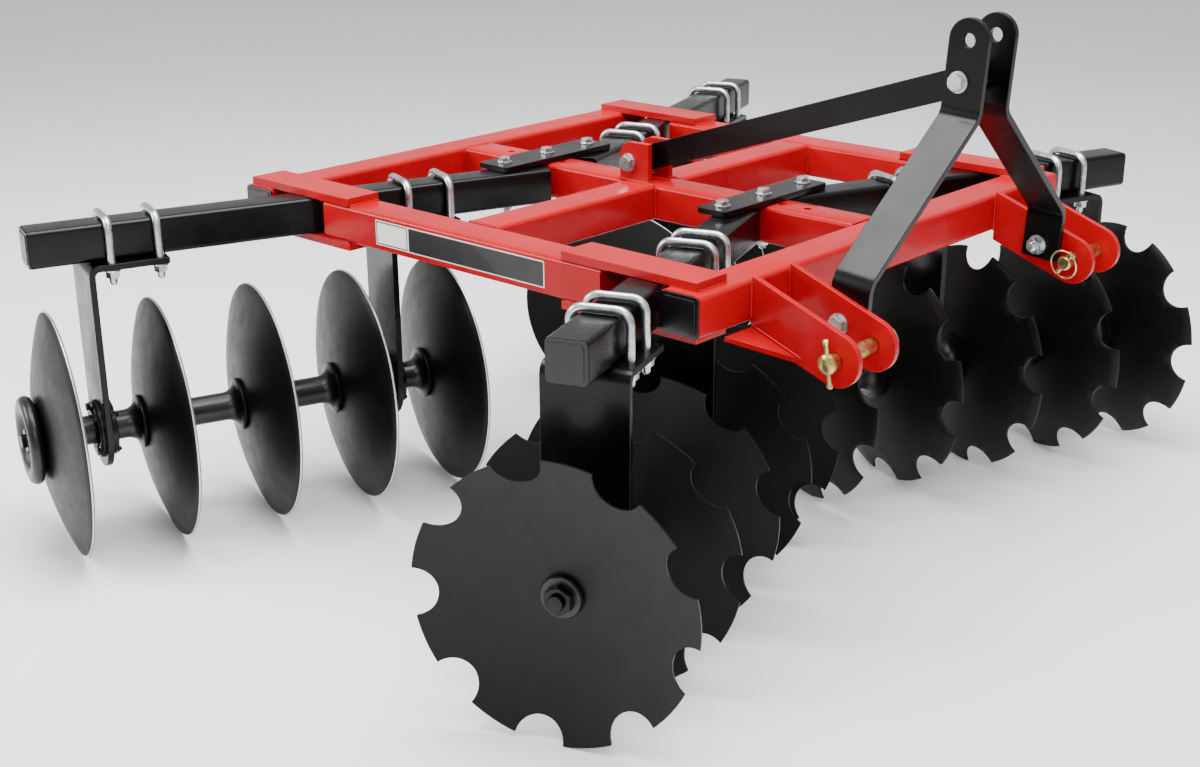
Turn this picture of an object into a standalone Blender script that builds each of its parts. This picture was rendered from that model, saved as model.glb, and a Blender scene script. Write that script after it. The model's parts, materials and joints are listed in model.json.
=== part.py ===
"""Three-point tandem disc harrow.

A welded tube frame carries a category 2 hitch and four beams bolted at a fixed angle.
Under each beam two hangers carry one gang: five discs clamped on an axle that turns freely.

Axes: +X to the machine's left-hand side, +Y to the rear, +Z up, so it is pulled toward -Y.
The origin is the centre of the bounding box, on the ground.  Units are metres and degrees.
"""
import math

import bmesh
import bpy
from mathutils import Matrix, Vector

# ---- Clearances ----------------------------------------------------------------------
SEAT_GAP = 0.0003            # between two pieces that touch
BEAM_PLAY = 0.0005           # above and below a beam between its corner plates
BEARING_PLAY = 0.0005        # radial, spool tube in hanger
PIN_PLAY = 0.0003            # radial, hitch pin in clevis
BEAM_END_CLEARANCE = 0.006   # beam corner to centre rail

# ---- Frame ---------------------------------------------------------------------------
FRAME_LENGTH = 1.262         # front face of front rail to rear face of rear rail
FRAME_WIDTH = 1.194          # over the side rails
RAIL_WIDTH = 0.087
BEAM_SIZE = 0.0762
TUBE_CORNER = 0.009
RAIL_HEIGHT = BEAM_SIZE + 2 * BEAM_PLAY
FRONT_RAIL_OVERHANG = 0.018  # past the side rails, each end
REAR_RAIL_OVERHANG = 0.006
PLATE_THICKNESS = 0.016
PLATE_WIDTH = 0.083
PLATE_LENGTH = 0.315
FRONT_PLATE_SETBACK = 0.023  # corner plate end behind the rail's outer face
REAR_PLATE_SETBACK = 0.012
WELD_DEPTH = 0.002           # how far a corner plate's root sinks into its rail
SIDE_RAIL_FRONT_CLEARANCE = 0.030
SIDE_RAIL_REAR_CLEARANCE = 0.004

# ---- Beams ---------------------------------------------------------------------------
FRONT_ANGLE = 20.5
REAR_ANGLE = 19.6
FRONT_BEAM_GAP = 0.02772      # end rail to the beam's near edge, along the side rail
REAR_BEAM_GAP = 0.06005
FRONT_BEAM_OVERHANG = -0.0556  # beam end past the outer disc's rim
REAR_BEAM_OVERHANG = 0.0315

# ---- Gangs ---------------------------------------------------------------------------
AXLE_DROP = 0.440            # rail top to axle
DISC_DIAMETER = 0.508
DISC_THICKNESS = 0.005
DISC_HOLE_DIAMETER = 0.037
DISC_SEAT_DIAMETER = 0.116   # flat centre that the spools clamp
DISH_DEPTH = 0.048
DISCS_PER_GANG = 5
FRONT_DISC_INSET = 0.47197   # side rail's outer face to the inner disc's rim, along the beam
REAR_DISC_INSET = 0.31321
FRONT_DISC_SPACING = 0.218
REAR_DISC_SPACING = 0.210
FRONT_GANG_OFFSET = 0.008    # axle behind the beam's centre line
REAR_GANG_OFFSET = 0.014
NOTCHES = 9
NOTCH_RADIUS = 0.0444
NOTCH_CENTRE_OUTSET = 0.002  # notch centre past the rim circle
OUTER_LOBE_ANGLE = 3.7       # outer disc's lobe above level, toward its leading edge
LOBE_STEP = 15.0             # each disc is turned this much past its outer neighbour

# ---- Spools and axle -----------------------------------------------------------------
AXLE_DIAMETER = 0.036
SPOOL_DIAMETER = 0.060
COLLAR_DIAMETER = 0.112
COLLAR_LENGTH = 0.035
BUMPER_DIAMETER = 0.183
BUMPER_THICKNESS = 0.030
END_WASHER_DIAMETER = 0.076
END_WASHER_THICKNESS = 0.012
NUT_DIAMETER = 0.058
NUT_THICKNESS = 0.024

# ---- Hangers -------------------------------------------------------------------------
HANGER_THICKNESS = 0.0127
HANGER_WIDTH = 0.160
HANGER_BEND = 0.022          # outer bend radius
FLANGE_LENGTH = 0.161
FRONT_HANGER_SHIFT = 0.0136  # leg's outer face from the middle of its bay
REAR_HANGER_SHIFT = -0.013
FRONT_HANGER_BAYS = (1, 3)   # bays counted from the inner disc
REAR_HANGER_BAYS = (0, 3)
HOUSING_DIAMETER = 0.116
HOUSING_OUTER_REACH = 0.010
HOUSING_INNER_REACH = 0.016

# ---- Hitch ---------------------------------------------------------------------------
BAR_THICKNESS = 0.0127
LOWER_HITCH_SPACING = 0.825  # between the clevis centres
CLEVIS_GAP = 0.0973
CLEVIS_PIN_DIAMETER = 0.0284
CLEVIS_PIN_REACH = 0.179     # pin centre in front of the front rail
CLEVIS_PIN_DROP = 0.108      # pin centre below the rail top
CLEVIS_NOSE_RADIUS = 0.048
CLEVIS_SLOPE = 19.6
PIN_INNER_END = 0.030        # pin past the inner plate
PIN_OUTER_END = 0.032
GUSSET_REACH = 0.112
GUSSET_WIDTH = 0.080
GUSSET_THICKNESS = 0.010
GUSSET_WELD = 0.003          # how far the gusset sinks into the plate, and stands above its edge

# ---- Mast ----------------------------------------------------------------------------
STRAP_WIDTH = 0.080
STRAP_FOOT_REACH = 0.1185    # strap centre line in front of the front rail, at the foot
STRAP_FOOT_DROP = 0.060      # point the strap leans about, below the rail top
STRAP_LEAN = 3.8
STRAP_BOTTOM = 0.052         # strap end below that point
STRAP_KNEE = 0.052           # lower bend above it
STRAP_SHOULDER = 0.300       # upper bend above it
STRAP_TOP = 0.476
STRAP_GAP = 0.0825
TOP_LINK_HOLE_DIAMETER = 0.026
BRACE_BOLT_HEIGHT = 0.360    # above the foot point, along the strap
BRACE_BOLT_SETBACK = 0.010

# ---- Brace ---------------------------------------------------------------------------
BRACE_DEPTH = 0.054
BRACE_THICKNESS = 0.0127
BUSHING_DIAMETER = 0.040
LUG_GAP = 0.0556
LUG_LENGTH = 0.080
LUG_HEIGHT = 0.083
LUG_FRONT = -0.021           # lug's front edge from the frame's middle
LUG_BOLT_HEIGHT = 0.038
LUG_BOLT_BEHIND_FRONT = 0.055

# ---- Splice bars ---------------------------------------------------------------------
SPLICE_LENGTH = 0.344
FRONT_SPLICE_WIDTH = 0.076
REAR_SPLICE_WIDTH = 0.090
FRONT_SPLICE_SHIFT = -0.029  # splice centre from where the beam lines cross
REAR_SPLICE_SHIFT = 0.072

# ---- Facets --------------------------------------------------------------------------
DISC_SEGMENTS = 27
SMOOTH_DISC_SEGMENTS = 28
NOTCH_SEGMENTS = 12
SPOOL_SEGMENTS = 10
BORE_SEGMENTS = 16
CORNER_STEPS = 2
NOSE_STEPS = 6

# ---- Derived places ------------------------------------------------------------------
RAIL_TOP = AXLE_DROP + DISC_DIAMETER / 2
RAIL_BOTTOM = RAIL_TOP - RAIL_HEIGHT
RAIL_MIDDLE = RAIL_TOP - RAIL_HEIGHT / 2
FRONT_FACE = -FRAME_LENGTH / 2
REAR_FACE = FRAME_LENGTH / 2
SIDE_CENTRE = (FRAME_WIDTH - RAIL_WIDTH) / 2
SIDE_INNER = FRAME_WIDTH / 2 - RAIL_WIDTH
STRAP_CENTRE = (STRAP_GAP + BAR_THICKNESS) / 2
CLEVIS_INNER_CENTRE = (LOWER_HITCH_SPACING - CLEVIS_GAP - BAR_THICKNESS) / 2
CLEVIS_OUTER_CENTRE = (LOWER_HITCH_SPACING + CLEVIS_GAP + BAR_THICKNESS) / 2
CLEVIS_PIN = Vector((FRONT_FACE - CLEVIS_PIN_REACH, RAIL_TOP - CLEVIS_PIN_DROP))
STRAP_FOOT = Vector((FRONT_FACE - STRAP_FOOT_REACH, RAIL_TOP - STRAP_FOOT_DROP))
LUG_BOLT = Vector((LUG_FRONT + LUG_BOLT_BEHIND_FRONT, RAIL_TOP + LUG_BOLT_HEIGHT))
SIDES = {"right": -1, "left": 1}

# ---- Paints: colour, roughness, metallic ---------------------------------------------
RED = ((0.62, 0.012, 0.015), 0.30, 0.0)
BLACK = ((0.012, 0.012, 0.013), 0.30, 0.0)
DISC_BLACK = ((0.018, 0.021, 0.020), 0.35, 0.3)
CAST_BLACK = ((0.014, 0.014, 0.015), 0.45, 0.0)
YELLOW_ZINC = ((0.60, 0.47, 0.20), 0.30, 1.0)

# ---- Frames that turn a flat outline into a solid --------------------------------------
# Each maps an outline's two axes and its extrusion to world axes.
FLAT = Matrix.Identity(4)
ALONG_X = Matrix(((0, 0, 1, 0), (1, 0, 0, 0), (0, 1, 0, 0), (0, 0, 0, 1)))
ALONG_MINUS_Y = Matrix(((1, 0, 0, 0), (0, 0, -1, 0), (0, 1, 0, 0), (0, 0, 0, 1)))


# ---- Shape helpers -------------------------------------------------------------------
def paint(name, look):
    """A Principled material of its own for one piece."""
    colour, roughness, metallic = look
    material = bpy.data.materials.new(name)
    material.use_nodes = True
    shader = material.node_tree.nodes["Principled BSDF"]
    shader.inputs["Base Color"].default_value = (*colour, 1.0)
    shader.inputs["Roughness"].default_value = roughness
    shader.inputs["Metallic"].default_value = metallic
    return material


def piece(name, mesh, frame, look):
    """One object at its place, with its material."""
    thing = bpy.data.objects.new(name, mesh)
    bpy.context.collection.objects.link(thing)
    thing.matrix_world = frame
    if look:
        thing.data.materials.clear()
        thing.data.materials.append(paint(name, look))
    return thing


def closed_mesh(name, points, faces):
    """A mesh whose faces all look outward."""
    mesh = bpy.data.meshes.new(name)
    mesh.from_pydata(points, [], faces)
    work = bmesh.new()
    work.from_mesh(mesh)
    bmesh.ops.recalc_face_normals(work, faces=work.faces)
    work.to_mesh(mesh)
    work.free()
    return mesh


def prism(name, outline, span, frame, look=None):
    """An outline extruded over a span."""
    count = len(outline)
    points = [(a, b, c) for c in span for a, b in outline]
    faces = [tuple(range(count)), tuple(range(count, 2 * count))]
    for i in range(count):
        j = (i + 1) % count
        faces.append((i, j, count + j, count + i))
    return piece(name, closed_mesh(name, points, faces), frame, look)


def turned_mesh(name, profile, segments, hollow):
    """A mesh turned about its own Z from (radius, height) points."""
    points = []
    for radius, height in profile:
        for i in range(segments):
            angle = math.tau * i / segments
            points.append((radius * math.cos(angle), radius * math.sin(angle), height))
    rings = len(profile)
    faces = []
    for k in range(rings if hollow else rings - 1):
        low = k * segments
        high = (k + 1) % rings * segments
        for i in range(segments):
            j = (i + 1) % segments
            faces.append((low + i, low + j, high + j, high + i))
    if not hollow:
        faces.append(tuple(range(segments)))
        faces.append(tuple(range((rings - 1) * segments, rings * segments)))
    return closed_mesh(name, points, faces)


def rod(name, radius, span, frame, look=None, segments=BORE_SEGMENTS):
    """A round bar over a span of the frame's third axis."""
    profile = [(radius, span[0]), (radius, span[1])]
    return piece(name, turned_mesh(name, profile, segments, False), frame, look)


def combine(target, tool, operation):
    """Applies one Boolean and removes the tool."""
    tool.hide_render = True
    tool.display_type = 'WIRE'
    modifier = target.modifiers.new(operation.title(), 'BOOLEAN')
    modifier.operation = operation
    modifier.solver = 'EXACT'
    modifier.object = tool
    bpy.context.view_layer.update()
    graph = bpy.context.evaluated_depsgraph_get()
    shape = bpy.data.meshes.new_from_object(target.evaluated_get(graph))
    target.modifiers.clear()
    target.data = shape
    bpy.data.objects.remove(tool)
    return target


def arc(centre, radius, start, end, steps):
    """Points along an arc, with both ends."""
    points = []
    for i in range(steps + 1):
        angle = math.radians(start + (end - start) * i / steps)
        points.append((centre[0] + radius * math.cos(angle), centre[1] + radius * math.sin(angle)))
    return points


def rounded_box(width, height, radius):
    """A centred rectangle with rounded corners."""
    a = width / 2 - radius
    b = height / 2 - radius
    outline = []
    for quarter, centre in enumerate(((a, b), (-a, b), (-a, -b), (a, -b))):
        outline += arc(centre, radius, 90 * quarter, 90 * quarter + 90, CORNER_STEPS)
    return outline


def box(x, y):
    """A rectangle over two spans."""
    return [(x[0], y[0]), (x[1], y[0]), (x[1], y[1]), (x[0], y[1])]


def round_bar(start, end, radius):
    """A bar with both ends round."""
    heading = math.degrees(math.atan2(end[1] - start[1], end[0] - start[0]))
    outline = arc(end, radius, heading - 90, heading + 90, NOSE_STEPS)
    return outline + arc(start, radius, heading + 90, heading + 270, NOSE_STEPS)


def spread(side, near, far):
    """A span of X on one side of the centre plane, low end first."""
    return tuple(sorted((side * near, side * far)))


def bore_radius(radius, play):
    """A faceted bore whose flats clear a round bar of the given radius."""
    return (radius + play) / math.cos(math.pi / BORE_SEGMENTS)


def at(x, y, z):
    return Matrix.Translation((x, y, z))


# ---- Frame ---------------------------------------------------------------------------
TUBE = rounded_box(RAIL_WIDTH, RAIL_HEIGHT, TUBE_CORNER)
PLATED_TUBE = rounded_box(RAIL_WIDTH, RAIL_HEIGHT - 2 * SEAT_GAP, TUBE_CORNER)


def end_rail(name, outer_face, inward, overhang, setback):
    """A rail across one end, with its four corner plates welded on."""
    half = FRAME_WIDTH / 2 + overhang
    centre = outer_face + inward * RAIL_WIDTH / 2
    rail = prism(name, TUBE, (-half, half), at(0, centre, RAIL_MIDDLE) @ ALONG_X, RED)
    start = outer_face + inward * setback
    root = outer_face + inward * (RAIL_WIDTH - TUBE_CORNER / 2)
    end = start + inward * PLATE_LENGTH
    for side in SIDES.values():
        across = spread(side, FRAME_WIDTH / 2 - PLATE_WIDTH, FRAME_WIDTH / 2)
        for face, up in ((RAIL_TOP, 1), (RAIL_BOTTOM, -1)):
            sunk = face - up * WELD_DEPTH
            crown = face + up * PLATE_THICKNESS
            outline = [(start, sunk), (root, sunk), (root, face), (end, face), (end, crown), (start, crown)]
            combine(rail, prism("plate", outline, across, ALONG_X), 'UNION')
    return rail


def crossing(outer_face, inward, gap, angle):
    """Y where a beam's centre line meets the centre plane."""
    lean = math.radians(angle)
    setback = RAIL_WIDTH + gap + BEAM_SIZE / 2 / math.cos(lean)
    return outer_face + inward * (setback + SIDE_CENTRE * math.tan(lean))


FRONT_CROSSING = crossing(FRONT_FACE, 1, FRONT_BEAM_GAP, FRONT_ANGLE)
REAR_CROSSING = crossing(REAR_FACE, -1, REAR_BEAM_GAP, REAR_ANGLE)


def beam_edge(crossing_y, angle, sweep):
    """Y of the beam's edge toward the frame's middle, where the side rail ends."""
    lean = math.radians(angle)
    return crossing_y + sweep * (SIDE_INNER * math.tan(lean) - BEAM_SIZE / 2 / math.cos(lean))


def rails():
    end_rail("front_rail", FRONT_FACE, 1, FRONT_RAIL_OVERHANG, FRONT_PLATE_SETBACK)
    end_rail("rear_rail", REAR_FACE, -1, REAR_RAIL_OVERHANG, REAR_PLATE_SETBACK)
    front_end = beam_edge(FRONT_CROSSING, FRONT_ANGLE, -1) + SIDE_RAIL_FRONT_CLEARANCE
    rear_end = beam_edge(REAR_CROSSING, REAR_ANGLE, 1) - SIDE_RAIL_REAR_CLEARANCE
    for hand, side in SIDES.items():
        frame = at(side * SIDE_CENTRE, 0, RAIL_MIDDLE) @ ALONG_MINUS_Y
        prism("side_rail_" + hand, PLATED_TUBE, (-rear_end, -front_end), frame, RED)
        across = spread(side, RAIL_WIDTH / 2 + SEAT_GAP, SIDE_INNER - SEAT_GAP)
        prism("cross_rail_" + hand, TUBE, across, at(0, 0, RAIL_MIDDLE) @ ALONG_X, RED)
    reach = FRAME_LENGTH / 2 - RAIL_WIDTH - SEAT_GAP
    prism("centre_rail", TUBE, (-reach, reach), at(0, 0, RAIL_MIDDLE) @ ALONG_MINUS_Y, RED)


def splice(name, crossing_y, shift, width):
    """A flat bar across the centre rail that ties two beam ends."""
    frame = at(0, crossing_y + shift, RAIL_TOP + SEAT_GAP)
    outline = rounded_box(SPLICE_LENGTH, width, TUBE_CORNER)
    prism(name, outline, (0, BAR_THICKNESS), frame, BLACK)


# ---- Hitch ---------------------------------------------------------------------------
def clevis_outline():
    """Side view of a clevis plate: a sloping bar with a round nose, from the front rail."""
    slope = math.radians(CLEVIS_SLOPE)
    heading = 180 + CLEVIS_SLOPE
    nose = arc(CLEVIS_PIN, CLEVIS_NOSE_RADIUS, heading - 90, heading + 90, NOSE_STEPS)
    back = FRONT_FACE - SEAT_GAP
    top, bottom = Vector(nose[0]), Vector(nose[-1])
    top_back = (back, top.y + (back - top.x) * math.tan(slope))
    bottom_back = (back, bottom.y + (back - bottom.x) * math.tan(slope))
    return [top_back] + nose + [bottom_back]


def clevis_plate(name, side, centre):
    """One upright plate with its pin hole."""
    span = spread(side, centre - BAR_THICKNESS / 2, centre + BAR_THICKNESS / 2)
    plate = prism(name, clevis_outline(), span, ALONG_X, RED)
    hole = bore_radius(CLEVIS_PIN_DIAMETER / 2, PIN_PLAY)
    reach = spread(side, centre - BAR_THICKNESS, centre + BAR_THICKNESS)
    cutter = rod("hole", hole, reach, at(0, *CLEVIS_PIN) @ ALONG_X)
    return combine(plate, cutter, 'DIFFERENCE')


def gusset(side):
    """A sloping triangle that stiffens the outer plate from its outboard side."""
    outline = clevis_outline()
    foot = Vector(outline[-1])
    slope = math.radians(CLEVIS_SLOPE)
    run = GUSSET_REACH / math.cos(slope)
    face = CLEVIS_OUTER_CENTRE + BAR_THICKNESS / 2 - GUSSET_WELD
    start = -GUSSET_THICKNESS * math.tan(slope)
    corners = [(side * face, start), (side * (face + GUSSET_WIDTH), start), (side * face, -run)]
    lift = GUSSET_THICKNESS + GUSSET_WELD
    frame = at(0, foot.x, foot.y + lift) @ Matrix.Rotation(slope, 4, 'X')
    return prism("gusset", corners, (-GUSSET_THICKNESS, 0), frame)


def hitch():
    middle = LOWER_HITCH_SPACING / 2
    flank = (CLEVIS_GAP + 2 * BAR_THICKNESS) / 2
    radius = CLEVIS_PIN_DIAMETER / 2
    chamfer = radius / 5
    for hand, side in SIDES.items():
        clevis_plate("clevis_inner_" + hand, side, CLEVIS_INNER_CENTRE)
        outer = clevis_plate("clevis_outer_" + hand, side, CLEVIS_OUTER_CENTRE)
        combine(outer, gusset(side), 'UNION')
        ends = spread(side, middle - flank - PIN_INNER_END, middle + flank + PIN_OUTER_END)
        profile = [(radius - chamfer, ends[0]), (radius, ends[0] + chamfer),
                   (radius, ends[1] - chamfer), (radius - chamfer, ends[1])]
        mesh = turned_mesh("hitch_pin_" + hand, profile, BORE_SEGMENTS, False)
        piece("hitch_pin_" + hand, mesh, at(0, *CLEVIS_PIN) @ ALONG_X, YELLOW_ZINC)


# ---- Mast and brace ------------------------------------------------------------------
STRAP_FRAME = at(0, *STRAP_FOOT) @ Matrix.Rotation(math.radians(STRAP_LEAN), 4, 'X')


def offset_path(path, distance):
    """A bent centre line moved sideways, with mitred bends."""
    moved = []
    for i, point in enumerate(path):
        before = path[max(i - 1, 0)]
        after = path[min(i + 1, len(path) - 1)]
        first = (point - before).normalized() if i > 0 else (after - point).normalized()
        second = (after - point).normalized() if i < len(path) - 1 else first
        normal = Vector((-first.y - second.y, first.x + second.x)).normalized()
        stretch = normal.dot(Vector((-first.y, first.x)))
        moved.append(point + normal * distance / stretch)
    return moved


def strap(name, side):
    """A mast strap bent out from the top link to its clevis."""
    foot_x = CLEVIS_INNER_CENTRE - BAR_THICKNESS - SEAT_GAP
    path = [Vector((side * foot_x, -STRAP_BOTTOM)), Vector((side * foot_x, STRAP_KNEE)),
            Vector((side * STRAP_CENTRE, STRAP_SHOULDER)), Vector((side * STRAP_CENTRE, STRAP_TOP))]
    outline = offset_path(path, BAR_THICKNESS / 2) + offset_path(path, -BAR_THICKNESS / 2)[::-1]
    bar = prism(name, outline, (-STRAP_WIDTH, STRAP_WIDTH), STRAP_FRAME @ ALONG_MINUS_Y, BLACK)
    half = STRAP_WIDTH / 2
    low = -STRAP_BOTTOM - half
    face = [(half, low)] + arc((0, STRAP_TOP - half), half, 0, 180, NOSE_STEPS) + [(-half, low)]
    reach = CLEVIS_INNER_CENTRE + BAR_THICKNESS
    combine(bar, prism("face", face, (-reach, reach), STRAP_FRAME @ ALONG_X), 'INTERSECT')
    hole_frame = STRAP_FRAME @ at(0, 0, STRAP_TOP - half) @ ALONG_X
    hole = rod("hole", TOP_LINK_HOLE_DIAMETER / 2, (-reach, reach), hole_frame)
    return combine(bar, hole, 'DIFFERENCE')


def brace():
    """The flat bar on edge from the mast to its two lugs."""
    mast_bolt = (STRAP_FRAME @ Vector((0, BRACE_BOLT_SETBACK, BRACE_BOLT_HEIGHT))).yz
    outline = round_bar(LUG_BOLT, mast_bolt, BRACE_DEPTH / 2)
    half = BRACE_THICKNESS / 2
    bar = prism("brace_bar", outline, (-half, half), ALONG_X, BLACK)
    for bolt, gap in ((LUG_BOLT, LUG_GAP), (mast_bolt, STRAP_GAP)):
        reach = gap / 2 - SEAT_GAP
        combine(bar, rod("bushing", BUSHING_DIAMETER / 2, (-reach, reach),
                         at(0, *bolt) @ ALONG_X), 'UNION')
    radius = LUG_LENGTH / 3
    back = LUG_FRONT + LUG_LENGTH
    foot = RAIL_TOP + SEAT_GAP
    crown = RAIL_TOP + LUG_HEIGHT
    lug = [(LUG_FRONT, foot), (back, foot), (back, crown - radius)]
    lug += arc((back - radius, crown - radius), radius, 0, 90, CORNER_STEPS)[1:]
    lug += [(LUG_FRONT, crown)]
    for hand, side in SIDES.items():
        span = spread(side, LUG_GAP / 2, LUG_GAP / 2 + BAR_THICKNESS)
        prism("brace_lug_" + hand, lug, span, ALONG_X, RED)


# ---- Gangs ---------------------------------------------------------------------------
class Gang:
    """Places along one beam, measured outward from the centre plane."""

    def __init__(self, end, hand):
        front = end == "front"
        self.name = end + "_{}_" + hand
        self.side = SIDES[hand]
        self.sweep = -1 if front else 1
        self.angle = FRONT_ANGLE if front else REAR_ANGLE
        self.crossing = FRONT_CROSSING if front else REAR_CROSSING
        self.spacing = FRONT_DISC_SPACING if front else REAR_DISC_SPACING
        self.offset = FRONT_GANG_OFFSET if front else REAR_GANG_OFFSET
        self.shift = FRONT_HANGER_SHIFT if front else REAR_HANGER_SHIFT
        self.bays = FRONT_HANGER_BAYS if front else REAR_HANGER_BAYS
        inset = FRONT_DISC_INSET if front else REAR_DISC_INSET
        first = FRAME_WIDTH / 2 / math.cos(math.radians(self.angle)) - inset
        self.rims = [first + self.spacing * i for i in range(DISCS_PER_GANG)]
        overhang = FRONT_BEAM_OVERHANG if front else REAR_BEAM_OVERHANG
        self.beam_end = self.rims[-1] + overhang
        self.dish = self.sweep * DISH_DEPTH

    def frame(self):
        """Local X outward along the beam, Y across it and Z up, from the rail top."""
        turn = math.radians(self.sweep * self.side * self.angle)
        if self.side < 0:
            turn += math.pi
        return at(0, self.crossing, RAIL_TOP) @ Matrix.Rotation(turn, 4, 'Z')

    def axle(self, distance):
        """A frame on the axle whose Z points outward, a distance from the centre plane."""
        back = self.side * self.offset
        return self.frame() @ at(distance, back, -AXLE_DROP) @ ALONG_X

    def disc_turn(self, number):
        """How far a notched disc is turned on the axle; a plain disc keeps a corner down."""
        if self.sweep > 0:
            return Matrix.Identity(4)
        turn = OUTER_LOBE_ANGLE + LOBE_STEP * (DISCS_PER_GANG - number)
        return Matrix.Rotation(math.radians(turn), 4, 'Z')


def beam(gang):
    lean = math.radians(gang.angle)
    corner = BEAM_SIZE / 2 * math.sin(lean)
    inner = (RAIL_WIDTH / 2 + corner + BEAM_END_CLEARANCE) / math.cos(lean)
    outline = rounded_box(BEAM_SIZE, BEAM_SIZE, TUBE_CORNER)
    frame = gang.frame() @ at(0, 0, -RAIL_HEIGHT / 2) @ ALONG_X
    prism(gang.name.format("beam"), outline, (inner, gang.beam_end), frame, BLACK)


def flange_outline():
    """Bent hanger bar seen along its width, from the leg's outer face."""
    inner_bend = HANGER_BEND - HANGER_THICKNESS
    knee = (-HANGER_BEND, -HANGER_BEND)
    deep = -AXLE_DROP - HANGER_WIDTH
    outline = [(-HANGER_THICKNESS, deep), (0, deep)]
    outline += arc(knee, HANGER_BEND, 0, 90, CORNER_STEPS + 1)
    outline += [(-FLANGE_LENGTH, 0), (-FLANGE_LENGTH, -HANGER_THICKNESS)]
    return outline + arc(knee, inner_bend, 90, 0, CORNER_STEPS + 1)


def hanger(gang, bay, number):
    """A flat bar bent under the beam, with a bearing housing round the spool."""
    middle = gang.rims[bay] + gang.spacing / 2 + gang.dish
    face = middle + gang.shift
    top = -RAIL_HEIGHT + BEAM_PLAY - SEAT_GAP
    back = gang.side * gang.offset
    frame = gang.frame() @ at(face, back, top)
    name = gang.name.format("hanger") + "_" + str(number)
    bar = prism(name, flange_outline(), (-HANGER_WIDTH, HANGER_WIDTH), frame @ ALONG_MINUS_Y, BLACK)
    half = HANGER_WIDTH / 2
    drop = -AXLE_DROP - top
    face_view = [(half, half), (-half, half)] + arc((0, drop), half, 180, 360, 2 * NOSE_STEPS)
    combine(bar, prism("face", face_view, (-2 * FLANGE_LENGTH, half), frame @ ALONG_X), 'INTERSECT')
    reach = (-HANGER_THICKNESS - HOUSING_INNER_REACH, HOUSING_OUTER_REACH)
    centre = frame @ at(0, 0, drop) @ ALONG_X
    combine(bar, rod("housing", HOUSING_DIAMETER / 2, reach, centre), 'UNION')
    bore = bore_radius(SPOOL_DIAMETER / 2, BEARING_PLAY)
    combine(bar, rod("bore", bore, (-FLANGE_LENGTH, half), centre), 'DIFFERENCE')


def end_stack(face, outward, bumper):
    """Washer or bumper and nut outside the last disc, from its face outward."""
    radius = (BUMPER_DIAMETER if bumper else END_WASHER_DIAMETER) / 2
    washer = face + outward * (BUMPER_THICKNESS if bumper else END_WASHER_THICKNESS)
    nut = washer + outward * NUT_THICKNESS
    return [(radius, face), (radius, washer), (NUT_DIAMETER / 2, washer), (NUT_DIAMETER / 2, nut)]


def spool(gang):
    """Axle, spools and end hardware of one gang, turned as one piece."""
    half = DISC_THICKNESS / 2 + SEAT_GAP
    seats = [rim + gang.dish for rim in gang.rims]
    profile = end_stack(seats[0] - half, -1, gang.sweep < 0)[::-1]
    for i, seat in enumerate(seats):
        profile += [(AXLE_DIAMETER / 2, seat - half), (AXLE_DIAMETER / 2, seat + half)]
        if i + 1 < len(seats):
            following = seats[i + 1] - half
            profile += [(COLLAR_DIAMETER / 2, seat + half),
                        (SPOOL_DIAMETER / 2, seat + half + COLLAR_LENGTH),
                        (SPOOL_DIAMETER / 2, following - COLLAR_LENGTH),
                        (COLLAR_DIAMETER / 2, following)]
    profile += end_stack(seats[-1] + half, 1, gang.sweep > 0)
    origin = gang.rims[DISCS_PER_GANG // 2]
    profile = [(radius, height - origin) for radius, height in profile]
    name = gang.name.format("spool")
    mesh = turned_mesh(name, profile, SPOOL_SEGMENTS, False)
    piece(name, mesh, gang.axle(origin), CAST_BLACK)


def disc_mesh(name, dish, segments):
    """A dished disc about its rim plane, flat where the spools clamp it."""
    hole = DISC_HOLE_DIAMETER / 2
    seat = DISC_SEAT_DIAMETER / 2
    rim = DISC_DIAMETER / 2
    middle = (seat + 2 * rim) / 3
    sag = 1 - (middle ** 2 - seat ** 2) / (rim ** 2 - seat ** 2)
    surface = [(hole, dish), (seat, dish), (middle, dish * sag), (rim, 0)]
    half = DISC_THICKNESS / 2
    profile = [(radius, height - half) for radius, height in surface]
    profile += [(radius, height + half) for radius, height in surface[::-1]]
    return turned_mesh(name, profile, segments, True)


def notched_mesh(name, dish):
    """The dished disc with round notches cut in its rim, the first lobe on its own X."""
    disc = piece(name, disc_mesh(name, dish, DISC_SEGMENTS), FLAT, None)
    rim = DISC_DIAMETER / 2 + NOTCH_CENTRE_OUTSET
    for i in range(NOTCHES):
        angle = math.tau * (i + 0.5) / NOTCHES
        frame = at(rim * math.cos(angle), rim * math.sin(angle), 0)
        cutter = rod("notch", NOTCH_RADIUS, (-DISH_DEPTH, DISH_DEPTH), frame, None, NOTCH_SEGMENTS)
        combine(disc, cutter, 'DIFFERENCE')
    mesh = disc.data
    bpy.data.objects.remove(disc)
    return mesh


def gangs():
    shapes = {"front": notched_mesh("notched_disc", -DISH_DEPTH),
              "rear": disc_mesh("plain_disc", DISH_DEPTH, SMOOTH_DISC_SEGMENTS)}
    for end, shape in shapes.items():
        for hand in SIDES:
            gang = Gang(end, hand)
            beam(gang)
            spool(gang)
            for number, bay in enumerate(gang.bays, 1):
                hanger(gang, bay, number)
            for number, rim in enumerate(gang.rims, 1):
                name = gang.name.format("disc") + "_" + str(number)
                piece(name, shape.copy(), gang.axle(rim) @ gang.disc_turn(number), DISC_BLACK)


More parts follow.
